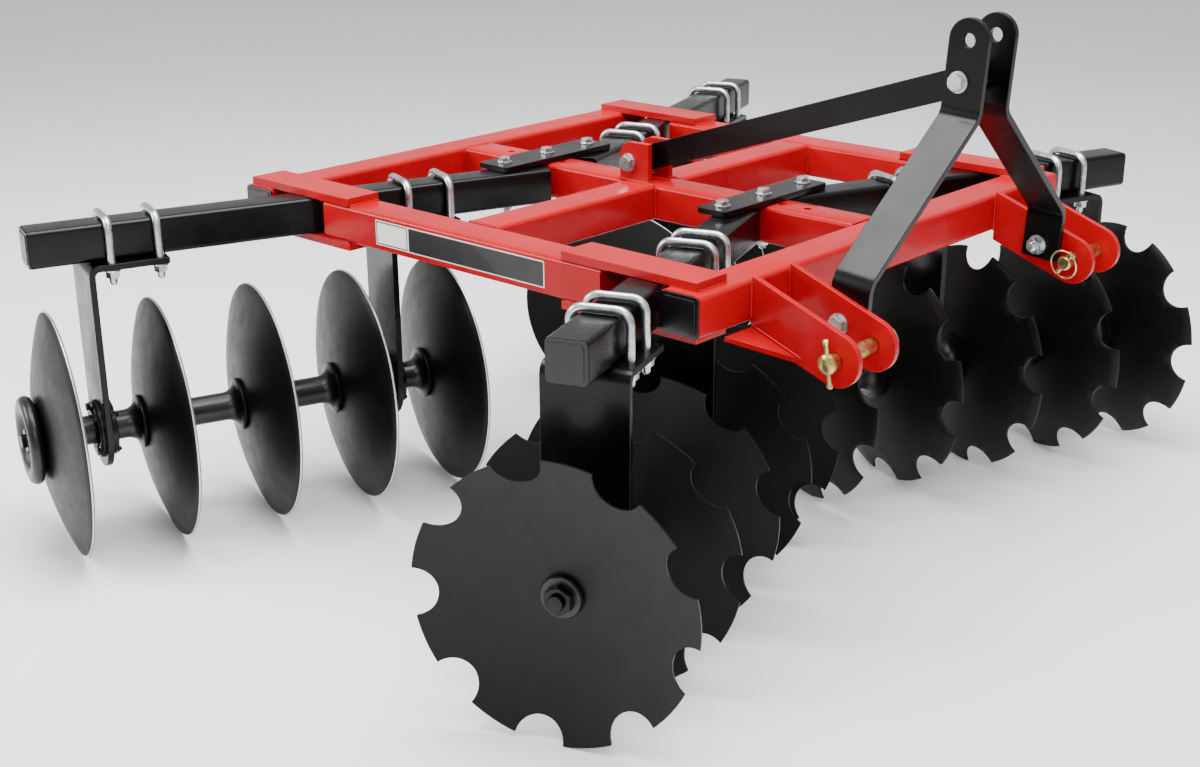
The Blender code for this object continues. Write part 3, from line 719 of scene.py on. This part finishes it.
def axle_set(gang):
    """Spools, axle, bumper, washer and nuts of one gang, which stand for the turned solid."""
    half = DISC_THICKNESS / 2 + SEAT_GAP
    seats = [rim + gang.dish for rim in gang.rims]
    body_parts = []
    for low, high in zip(seats, seats[1:]):
        body_parts.append(spool(gang, low + half, high - half))
    convex = ENDS[gang.end]
    ends = {convex: BUMPER_THICKNESS, -convex: END_WASHER_THICKNESS}
    faces = {-1: seats[0] - half, 1: seats[-1] + half}
    place = gang.axle(0)
    body_parts.append(settle(bumper(faces[convex], convex), place))
    body_parts.append(settle(end_washer(faces[-convex], -convex), place))
    low = faces[-1] - END_WASHER_THICKNESS
    high = faces[1] + END_WASHER_THICKNESS
    body_parts.append(cylinder(AXLE_RADIUS * 0.98, low, high, 32, place))
    casting = joined(body_parts)
    smooth(casting, 45)
    node = "{}_spool_{}".format(gang.end, gang.hand)
    dress(casting, node + "_cast", CASTING, gang.body)
    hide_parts(node)
    steel = []
    for outward in (-1, 1):
        seat = BUMPER_SEAT if outward == convex else 1
        face = faces[outward] + outward * ends[outward] * seat
        steel += [settle(part, place) for part in axle_end(face, outward)]
    nuts = joined(steel)
    smooth(nuts, 40)
    dress(nuts, gang.body + "_axle_nuts", BLACK_ENAMEL, gang.body)


def bearings(gang):
    """Flanged bearing housings on both faces of each hanger, with their bolts and greaser."""
    castings = []
    bolts = []
    rim = HOUSING_RIM
    for face in gang.hanger_faces():
        outer = Matrix.Translation((0, 0, face))
        inner = Matrix.Translation((0, 0, face - BAR)) @ TURNED_OVER
        for seat, reach in ((outer, HOUSING_OUTER_REACH), (inner, HOUSING_INNER_REACH)):
            profile = [(HOUSING_BORE, 0.0004), (rim, 0.0004), (rim, 0.0052), (rim - 0.0025, 0.0068),
                       (0.046, 0.0080), (0.0425, reach - 0.003), (0.040, reach), (HOUSING_BORE, reach)]
            castings.append(settle(spun(profile, 48), gang.axle(0) @ seat))
        for i in range(4):
            turn = math.radians(45 + 90 * i)
            spot = Matrix.Translation((HOUSING_BOLT_CIRCLE * math.cos(turn),
                                       HOUSING_BOLT_CIRCLE * math.sin(turn), 0.0075))
            bolts.append(bolt(HOUSING_BOLT_SIZE, BAR + 0.015, gang.axle(0) @ outer @ spot))
        tilted = Matrix.Translation((0, 0.044, 0.012)) @ Matrix.Rotation(math.radians(-60), 4, 'X')
        profile = [(0, -0.004), (0.0035, -0.004), (0.0035, 0.005), (0.0022, 0.0065),
                   (0.0030, 0.0085), (0.0018, 0.011), (0, 0.011)]
        greaser = spun(profile, 12, closed=False)
        bolts.append(settle(greaser, gang.axle(0) @ outer @ tilted))
    casting = joined(castings)
    smooth(casting, 45)
    dress(casting, gang.body + "_bearing_housings", CASTING, "frame")
    fixings = joined(bolts)
    dress(fixings, gang.body + "_bearing_bolts", BLACK_ENAMEL, "frame")


def u_bolts(gang):
    """Two U-bolts over the beam at each hanger."""
    parts = []
    flange_depth = RAIL_HEIGHT + BAR
    quarter = Matrix.Rotation(math.pi / 2, 4, 'Z')
    for face in gang.hanger_faces():
        for setback in U_BOLT_SETBACKS[gang.end]:
            spot = Matrix.Translation((face - setback, gang.across_beam, AXLE_DROP))
            parts.append(u_bolt(gang.frame @ spot @ quarter, flange_depth))
    dress(joined(parts), gang.body + "_u_bolts", ZINC, "frame")


def gangs():
    """All four gangs, from a notched and a plain model disc."""
    models = {"front": dished_disc(-DISH_DEPTH, "notched_model"),
              "rear": dished_disc(DISH_DEPTH, "plain_model")}
    notch(models["front"])
    for model in models.values():
        sharpen(model)
    for end, model in models.items():
        for hand in SIDES:
            gang = Gang(end, hand)
            discs(gang, model)
            axle_set(gang)
            bearings(gang)
            u_bolts(gang)
        bpy.data.objects.remove(model)


# ---- Hitch ----
HITCH_MIDDLE = 0.4125        # lower hitch point from the centre plane
CLEVIS_GAP = 0.0973
CLEVIS_INNER = HITCH_MIDDLE - (CLEVIS_GAP + BAR) / 2
CLEVIS_OUTER = HITCH_MIDDLE + (CLEVIS_GAP + BAR) / 2
CLEVIS_NOSE = 0.048
CLEVIS_SLOPE = 19.6
PIN_SPOT = (FRONT_FACE - 0.179, RAIL_TOP - 0.108)
PIN_RADIUS = 0.0142
PIN_ENDS = (0.32115, 0.50585)
PIN_HOLE_PLAY = 0.0004
HANDLE_OUTLINE = ((0, -0.0425), (0.0040, -0.0425), (0.0058, -0.0405), (0.0058, -0.0350),
                  (0.0042, -0.0330), (0.0042, 0.0330), (0.0058, 0.0350), (0.0058, 0.0405),
                  (0.0040, 0.0425), (0, 0.0425))
LINCH_OUTLINE = ((0, -0.0300), (0.0025, -0.0295), (0.0045, -0.0260), (0.0045, 0.0170),
                 (0.0085, 0.0180), (0.0090, 0.0215), (0.0085, 0.0250), (0.0040, 0.0265), (0, 0.0265))
LINCH_RING_RADIUS = 0.029
LINCH_RING_ROD = 0.0019
GUSSET_REACH = 0.112
GUSSET_WIDTH = 0.080
GUSSET_THICKNESS = 0.010
GUSSET_WELD = 0.003
STRAP_FOOT = (FRONT_FACE - 0.1185, RAIL_TOP - 0.060)
STRAP_LEAN = 3.8
STRAP_PLACE = Matrix.Translation((0, *STRAP_FOOT)) @ Matrix.Rotation(math.radians(STRAP_LEAN), 4, 'X')
STRAP_WIDTH = 0.080
STRAP_BOTTOM = 0.052
STRAP_KNEE = 0.052
STRAP_SHOULDER = 0.300
STRAP_TOP = 0.476
STRAP_BEND = 0.034
STRAP_INNER_FACE = 0.04125
TOP_HOLE = 0.013
MAST_BOLT_HEIGHT = 0.360
MAST_BOLT_SETBACK = 0.010
LUG_OUTER_FACE = 0.0405
LUG_BOLT = (MIDDLE + 0.034, RAIL_TOP + 0.038)
FOOT_BOLT = (MIDDLE - 0.7405, RAIL_TOP - 0.084)
BOLT_SIZE = 0.019


def spread(side, near, far):
    """A span of X on one side of the centre plane, low end first."""
    return tuple(sorted((side * near, side * far)))


def bore(piece, spot, radius, reach):
    """Drills a hole along X."""
    centre = Matrix.Translation((0, *spot)) @ ALONG_X
    modify_boolean(piece, cylinder(radius, -reach, reach, 40, centre), 'DIFFERENCE')


def clevis_outline():
    """Side view of a clevis plate: a sloping bar with a round nose."""
    slope = math.tan(math.radians(CLEVIS_SLOPE))
    heading = 180 + CLEVIS_SLOPE
    nose = arc(PIN_SPOT, CLEVIS_NOSE, heading - 90, heading + 90, 28)
    back = FRONT_FACE - SEAT_GAP
    top = nose[0][1] + (back - nose[0][0]) * slope
    bottom = nose[-1][1] + (back - nose[-1][0]) * slope
    return [(back, top)] + nose + [(back, bottom)]


def clevises(hand, side):
    """The two pin plates; the outer one carries the sloping gusset."""
    outline = clevis_outline()
    for label, centre in (("inner_", CLEVIS_INNER), ("outer_", CLEVIS_OUTER)):
        low, high = spread(side, centre - BAR / 2, centre + BAR / 2)
        plate = slab(outline, low, high, ALONG_X)
        bore(plate, PIN_SPOT, PIN_RADIUS + PIN_HOLE_PLAY, 1.0)
        if label == "outer_":
            slope = math.radians(CLEVIS_SLOPE)
            start = -GUSSET_THICKNESS * math.tan(slope)
            run = GUSSET_REACH / math.cos(slope)
            face = centre + BAR / 2 - GUSSET_WELD
            corners = [(side * face, start), (side * (face + GUSSET_WIDTH), start), (side * face, -run)]
            back, bottom = outline[-1]
            place = Matrix.Translation((0, back, bottom + GUSSET_THICKNESS + GUSSET_WELD))
            place = place @ Matrix.Rotation(slope, 4, 'X')
            modify_boolean(plate, slab(corners, -GUSSET_THICKNESS, 0, place), 'UNION')
        round_edges(plate, 0.0014, 2, 40)
        name = "clevis_" + label + hand
        dress(plate, name + "_plate", RED_ENAMEL, "frame")
        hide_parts(name)


def filleted(path, radius, steps=8):
    """A path whose inner corners are rounded."""
    points = [path[0]]
    for before, corner, after in zip(path, path[1:], path[2:]):
        back = (before - corner).normalized()
        ahead = (after - corner).normalized()
        half = back.angle(ahead) / 2
        middle = corner + (back + ahead).normalized() * radius / math.sin(half)
        start = corner + back * radius / math.tan(half)
        end = corner + ahead * radius / math.tan(half)
        for i in range(steps + 1):
            points.append(middle + (start - middle).slerp(end - middle, i / steps) * radius)
    return points + [path[-1]]


def ribbon(path, half):
    """The outline of a bar of even thickness along a path."""
    left = []
    right = []
    for i, point in enumerate(path):
        run = path[min(i + 1, len(path) - 1)] - path[max(i - 1, 0)]
        normal = Vector((-run.y, run.x)).normalized() * half
        left.append(point + normal)
        right.append(point - normal)
    return [tuple(point) for point in left + right[::-1]]


def strap(hand, side):
    """One mast strap, bent out from the top link to its clevis."""
    foot = CLEVIS_INNER - BAR - SEAT_GAP
    top = STRAP_INNER_FACE + BAR / 2
    path = [Vector((side * foot, -STRAP_BOTTOM)), Vector((side * foot, STRAP_KNEE)),
            Vector((side * top, STRAP_SHOULDER)), Vector((side * top, STRAP_TOP))]
    bar = slab(ribbon(filleted(path, STRAP_BEND), BAR / 2), -STRAP_WIDTH, STRAP_WIDTH,
               STRAP_PLACE @ ALONG_MINUS_Y)
    half = STRAP_WIDTH / 2
    low = -STRAP_BOTTOM - half
    face = [(half, low)] + arc((0, STRAP_TOP - half), half, 0, 180, 28) + [(-half, low)]
    modify_boolean(bar, slab(face, -1.0, 1.0, STRAP_PLACE @ ALONG_X), 'INTERSECT')
    centre = STRAP_PLACE @ Matrix.Translation((0, 0, STRAP_TOP - half)) @ ALONG_X
    modify_boolean(bar, cylinder(TOP_HOLE, -1.0, 1.0, 36, centre), 'DIFFERENCE')
    round_edges(bar, 0.0013, 2, 40)
    name = "mast_strap_" + hand
    dress(bar, name + "_bar", BLACK_ENAMEL, "frame")
    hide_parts(name)


def hitch_pin(hand, side):
    """Lower hitch pin with its cross handle outboard and a ringed linch pin inboard."""
    place = Matrix.Translation((0, *PIN_SPOT)) @ ALONG_X
    if side < 0:
        place = place @ TURNED_OVER
    near, far = PIN_ENDS
    profile = [(0, near), (PIN_RADIUS - 0.003, near), (PIN_RADIUS, near + 0.003),
               (PIN_RADIUS, far - 0.017), (0.0175, far - 0.0165), (0.0185, far - 0.012),
               (0.0170, far - 0.005), (0.0110, far - 0.0008), (0, far)]
    parts = [settle(spun(profile, 40, closed=False), place)]
    handle = Matrix.Translation((side * (far - 0.011), *PIN_SPOT))
    handle = handle @ Matrix.Rotation(math.radians(-9), 4, 'X')
    parts.append(settle(spun(HANDLE_OUTLINE, 20, closed=False), handle))
    linch = Matrix.Translation((side * (near + 0.010), *PIN_SPOT))
    linch = linch @ Matrix.Rotation(math.radians(35), 4, 'X')
    parts.append(settle(spun(LINCH_OUTLINE, 20, closed=False), linch))
    ring = []
    for i in range(40):
        angle = math.tau * i / 40
        ring.append((side * (-0.004 - 0.006 * math.cos(angle)), LINCH_RING_RADIUS * math.sin(angle),
                     LINCH_RING_RADIUS * math.cos(angle) - 0.004))
    parts.append(settle(swept(ring, LINCH_RING_ROD, 12, closed=True), linch))
    pin = joined(parts)
    smooth(pin, 40)
    name = "hitch_pin_" + hand
    dress(pin, name + "_plated", YELLOW_ZINC, "frame")
    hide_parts(name)


def hitch_bolts():
    """Bolts of the brace, the mast, the strap feet and the splice bars."""
    parts = [bolt(BOLT_SIZE, 2 * LUG_OUTER_FACE, facing((-LUG_OUTER_FACE, *LUG_BOLT), (-1, 0, 0)))]
    spot = STRAP_PLACE @ Vector((-STRAP_INNER_FACE - BAR, MAST_BOLT_SETBACK, MAST_BOLT_HEIGHT))
    parts.append(bolt(BOLT_SIZE, 2 * (STRAP_INNER_FACE + BAR), facing(spot, (-1, 0, 0))))
    for side in SIDES.values():
        spot = (side * (CLEVIS_INNER + BAR / 2), *FOOT_BOLT)
        parts.append(bolt(BOLT_SIZE, 2 * BAR + SEAT_GAP, facing(spot, (side, 0, 0))))
    for name in ("front_splice", "rear_splice"):
        low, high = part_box(name)
        for x in (-SPLICE_BOLT_PITCH, 0, SPLICE_BOLT_PITCH):
            spot = (x, (low[1] + high[1]) / 2, high[2])
            parts.append(bolt(SPLICE_BOLT_SIZE, high[2] - RAIL_BOTTOM, facing(spot, (0, 0, 1))))
    dress(joined(parts), "frame_bolts", ZINC, "frame")


# ---- Trim of the frame ----
CAP_MARGIN = 0.003
CROWN_MARGIN = 0.016
LABEL_FRONT = MIDDLE - 0.251
LABEL_SPLIT = MIDDLE + 0.122
LABEL_BACK = MIDDLE + 0.218
LABEL_BOTTOM = RAIL_TOP - 0.0625
LABEL_TOP = RAIL_TOP - 0.0115
LABEL_BORDER = 0.0022
SHEET_THICKNESS = 0.0006
PANEL_THICKNESS = 0.0009     # off the rail's side, over the sheet
RIPPLE_PITCH = 0.0034
BEAD_RADIUS = 0.0034
THIN_BEAD_RADIUS = 0.0030
CORNER_PLATE_SETBACK = {"front": 0.023, "rear": 0.012}
CORNER_PLATE_LENGTH = 0.315
CORNER_PLATE_REACH = 0.083
CORNER_PLATE_BARE = 0.226    # along the side rail, where its beam hides the weld
SPARE_HOLES = (0.433, 0.269, -0.345, -0.409)   # from the frame's middle
SPARE_HOLE_RADIUS = 0.0085


def rounded_box(width, height, radius, steps=4):
    """The outline of a rectangle with round corners."""
    a = width / 2 - radius
    b = height / 2 - radius
    outline = []
    for quarter, centre in enumerate(((a, b), (-a, b), (-a, -b), (a, -b))):
        outline += arc(centre, radius, 90 * quarter, 90 * quarter + 90, steps)
    return outline


def end_cap(width, height, place):
    """A moulded tube plug: a thin lip on the tube's end with a shallow raised middle."""
    outer = rounded_box(width - CAP_MARGIN, height - CAP_MARGIN, 0.008)
    inner = rounded_box(width - CROWN_MARGIN, height - CROWN_MARGIN, 0.006)
    lip = slab(outer, 0.0003, 0.0030, place)
    crown = slab(inner, 0.0028, 0.0046, place)
    cap = joined([lip, crown])
    round_edges(cap, 0.0007, 2, 40)
    return cap


def end_caps():
    """Plugs in the ends of the front and rear rails and in the outer ends of the beams."""
    caps = []
    middle = RAIL_TOP - RAIL_HEIGHT / 2
    centres = {"front_rail": FRONT_FACE + RAIL_WIDTH / 2, "rear_rail": REAR_FACE - RAIL_WIDTH / 2}
    for name, centre in centres.items():
        low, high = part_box(name)
        for side in SIDES.values():
            reach = high[0] if side > 0 else low[0]
            place = Matrix.Translation((reach, centre, middle)) @ ALONG_X
            if side < 0:
                place = place @ TURNED_OVER
            caps.append(end_cap(RAIL_WIDTH, RAIL_HEIGHT, place))
    for end in ENDS:
        for hand in SIDES:
            gang = Gang(end, hand)
            tip = (BEAM_TIP[end], gang.across_beam, AXLE_DROP - RAIL_HEIGHT / 2)
            place = gang.frame @ Matrix.Translation(tip) @ ALONG_X
            caps.append(end_cap(BEAM_SIZE, BEAM_SIZE, place))
    dress(joined(caps), "tube_end_caps", MOULDED_PLUG, "frame")


def decals():
    """Blank side labels: a white square beside a dark panel with a thin light border."""
    sheets = []
    panels = []
    front = LABEL_FRONT + LABEL_BORDER
    dark_end = LABEL_SPLIT - LABEL_BORDER
    square = (LABEL_SPLIT + LABEL_BORDER, LABEL_BACK - LABEL_BORDER)
    bottom = LABEL_BOTTOM + LABEL_BORDER
    top = LABEL_TOP - LABEL_BORDER
    for side in SIDES.values():
        near, far = spread(side, HALF_WIDTH, HALF_WIDTH + SHEET_THICKNESS)
        sheets.append(block((near, LABEL_FRONT, LABEL_BOTTOM), (far, LABEL_BACK, LABEL_TOP)))
        near, far = spread(side, HALF_WIDTH, HALF_WIDTH + PANEL_THICKNESS)
        panels.append(block((near, front, bottom), (far, dark_end, top)))
        for low in (bottom, top - LABEL_BORDER):
            panels.append(block((near, square[0], low), (far, square[1], low + LABEL_BORDER)))
        for start in (square[0], square[1] - LABEL_BORDER):
            panels.append(block((near, start, bottom), (far, start + LABEL_BORDER, top)))
    dress(joined(sheets), "label_sheets", WHITE_VINYL, "frame")
    dress(joined(panels), "label_panels", BLACK_VINYL, "frame")


def bead(start, end, radius=BEAD_RADIUS):
    """A weld bead between two points, rippled along its length."""
    start, end = Vector(start), Vector(end)
    length = (end - start).length
    count = max(int(length / RIPPLE_PITCH), 3)
    points = [start.lerp(end, i / count) for i in range(count + 1)]
    made = line_of([tuple(point) for point in points], False)
    for i, spot in enumerate(made.data.splines[0].points):
        taper = min(1.0, 0.55 + 0.45 * min(i, count - i) / 2)
        spot.radius = taper * (1.06 if i % 2 else 0.86) * random.uniform(0.94, 1.06)
    made.data.bevel_depth = radius
    made.data.bevel_resolution = 1
    made.data.use_fill_caps = True
    return to_mesh(made)


def collar_of_beads(centre, across, up, width, height):
    """Beads round a square tube's end, where it meets another."""
    centre, across, up = Vector(centre), Vector(across), Vector(up)
    a, b = width / 2 - 0.006, height / 2
    beads = []
    for sign in (-1, 1):
        side = centre + across * sign * (width / 2 + 0.0005)
        beads.append(bead(side - up * (b - 0.008), side + up * (b - 0.008)))
        edge = centre + up * sign * (b - 0.0012)
        beads.append(bead(edge - across * a, edge + across * a))
    return beads


def weld_beads():
    """Every weld that shows on the frame and the hitch."""
    beads = []
    mid = RAIL_TOP - RAIL_HEIGHT / 2
    inner = HALF_WIDTH - RAIL_WIDTH
    for side in SIDES.values():
        for x in (side * RAIL_WIDTH / 2, side * inner):
            beads += collar_of_beads((x, MIDDLE, mid), (0, 1, 0), (0, 0, 1), RAIL_WIDTH, RAIL_HEIGHT)
    for y in (FRONT_FACE + RAIL_WIDTH, REAR_FACE - RAIL_WIDTH):
        beads += collar_of_beads((0, y, mid), (1, 0, 0), (0, 0, 1), RAIL_WIDTH, RAIL_HEIGHT)
    slope = math.tan(math.radians(CLEVIS_SLOPE))
    outline = clevis_outline()
    top, bottom = outline[0][1], outline[-1][1]
    for side in SIDES.values():
        for centre in (CLEVIS_INNER, CLEVIS_OUTER):
            for flank in (-1, 1):
                x = side * centre + flank * (BAR / 2 + 0.001)
                beads.append(bead((x, FRONT_FACE - 0.001, max(bottom, RAIL_BOTTOM) + 0.002),
                                  (x, FRONT_FACE - 0.001, min(top, RAIL_TOP) - 0.004)))
        face = side * (CLEVIS_OUTER + BAR / 2 + 0.001)
        foot = bottom + GUSSET_THICKNESS + GUSSET_WELD + 0.0015
        beads.append(bead((face, FRONT_FACE - 0.006, foot - 0.006 * slope),
                          (face, FRONT_FACE - GUSSET_REACH, foot - GUSSET_REACH * slope)))
        beads += lug_beads(side)
    for end, face in (("front", FRONT_FACE), ("rear", REAR_FACE)):
        for side in SIDES.values():
            for level in (RAIL_TOP, RAIL_BOTTOM):
                beads += corner_plate_beads(side, face, -ENDS[end], CORNER_PLATE_SETBACK[end], level)
    piece = joined(beads)
    smooth(piece, 60)
    dress(piece, "weld_beads", RED_ENAMEL, "frame")


def corner_plate_beads(side, face, inward, setback, level):
    """Beads round one corner plate, on the rails' top or bottom face."""
    start = face + inward * setback
    finish = start + inward * CORNER_PLATE_LENGTH
    near = side * (HALF_WIDTH - CORNER_PLATE_REACH)
    far = side * HALF_WIDTH
    edge = far - side * 0.004
    lines = (((near, start), (far - side * 0.006, start)),
             ((near, finish), (far - side * 0.006, finish)),
             ((near, start + inward * 0.003), (near, face + inward * (RAIL_WIDTH - 0.006))),
             ((edge, face + inward * CORNER_PLATE_BARE), (edge, finish - inward * 0.004)))
    return [bead((*first, level), (*last, level), THIN_BEAD_RADIUS) for first, last in lines]


def lug_beads(side):
    """Beads along three edges of a brace lug's foot."""
    low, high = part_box("brace_lug_left")
    level = RAIL_TOP + 0.0008
    outer = side * (high[0] + 0.0008)
    return [bead((outer, low[1], level), (outer, high[1], level)),
            bead((side * low[0], low[1] - 0.001, level), (side * high[0], low[1] - 0.001, level)),
            bead((side * low[0], high[1] + 0.001, level), (side * high[0], high[1] + 0.001, level))]


def drill_centre_rail():
    """Spare bolt holes in the top of the centre rail."""
    rail = bpy.data.objects["centre_rail_finished"]
    for y in SPARE_HOLES:
        place = Matrix.Translation((0, MIDDLE + y, RAIL_TOP))
        drill = cylinder(SPARE_HOLE_RADIUS, -0.012, 0.010, 28, place)
        modify_boolean(rail, drill, 'DIFFERENCE')


def hitch():
    """The three-point hitch, with the frame's bolts."""
    for hand, side in SIDES.items():
        clevises(hand, side)
        strap(hand, side)
        hitch_pin(hand, side)
    hitch_bolts()


def trim():
    """Spare holes, plugs, labels and welds."""
    drill_centre_rail()
    end_caps()
    decals()
    weld_beads()


# ---- Stage ----
CAMERA_BACK = (-2.7112, -2.3204, 0.8208)   # from the frame's middle, at rail top level
CAMERA_TURN = (-47.558, 19.888, -0.371)    # azimuth, downward tilt, roll
LENS = 50.47
FLOOR_DROP = 0.0005
WORLD_STRENGTH = 0.70


def camera():
    """A three-quarter view from the front right-hand corner."""
    azimuth, tilt, roll = (math.radians(value) for value in CAMERA_TURN)
    made = bpy.data.cameras.new("view")
    made.lens = LENS
    made.sensor_width = 36.0
    made.clip_start = 0.05
    made.clip_end = 60.0
    holder = bpy.data.objects.new("view", made)
    bpy.context.collection.objects.link(holder)
    turn = (Matrix.Rotation(azimuth, 4, 'Z') @ Matrix.Rotation(math.pi / 2 - tilt, 4, 'X')
            @ Matrix.Rotation(roll, 4, 'Z'))
    spot = Vector(CAMERA_BACK) + Vector((0, MIDDLE, RAIL_TOP))
    holder.matrix_world = Matrix.Translation(spot) @ turn
    bpy.context.scene.camera = holder


def soft_light(name, spot, target, size, power):
    """A soft box aimed at a point; its size is in metres and its power in watts."""
    made = bpy.data.lights.new(name, 'AREA')
    made.shape = 'RECTANGLE'
    made.size, made.size_y = size
    made.energy = power
    holder = bpy.data.objects.new(name, made)
    bpy.context.collection.objects.link(holder)
    aim = (Vector(target) - Vector(spot)).to_track_quat('-Z', 'Y').to_matrix().to_4x4()
    holder.matrix_world = Matrix.Translation(spot) @ aim


def stage():
    """A pale studio floor under a white world and three soft boxes."""
    bpy.ops.object.select_all(action='DESELECT')
    bpy.ops.mesh.primitive_plane_add(size=40, location=(0, 0, -FLOOR_DROP))
    floor = bpy.context.object
    floor.name = "floor"
    material, tree, shader, place = start_material("studio_floor", {"Roughness": 0.85})
    tint = ramp(tree, noise(tree, place, 1.5), [(0.3, colour("#f4f4f3")), (0.7, colour("#fafaf9"))])
    tree.links.new(tint, shader.inputs["Base Color"])
    floor.data.materials.append(material)
    world = bpy.data.worlds.new("studio")
    bpy.context.scene.world = world
    world.use_nodes = True
    background = world.node_tree.nodes["Background"]
    background.inputs["Color"].default_value = grey(1.0)
    background.inputs["Strength"].default_value = WORLD_STRENGTH
    soft_light("overhead", (-0.4, -0.2, 4.4), (0, 0, 0.5), (4.0, 3.0), 480)
    soft_light("front_side", (-3.4, -3.4, 3.4), (0, 0, 0.5), (1.6, 1.2), 60)
    soft_light("rear_side", (-3.6, 3.4, 2.6), (0, 0, 0.5), (2.0, 1.6), 170)


rolled_steel()
hitch()
trim()
gangs()
camera()
stage()
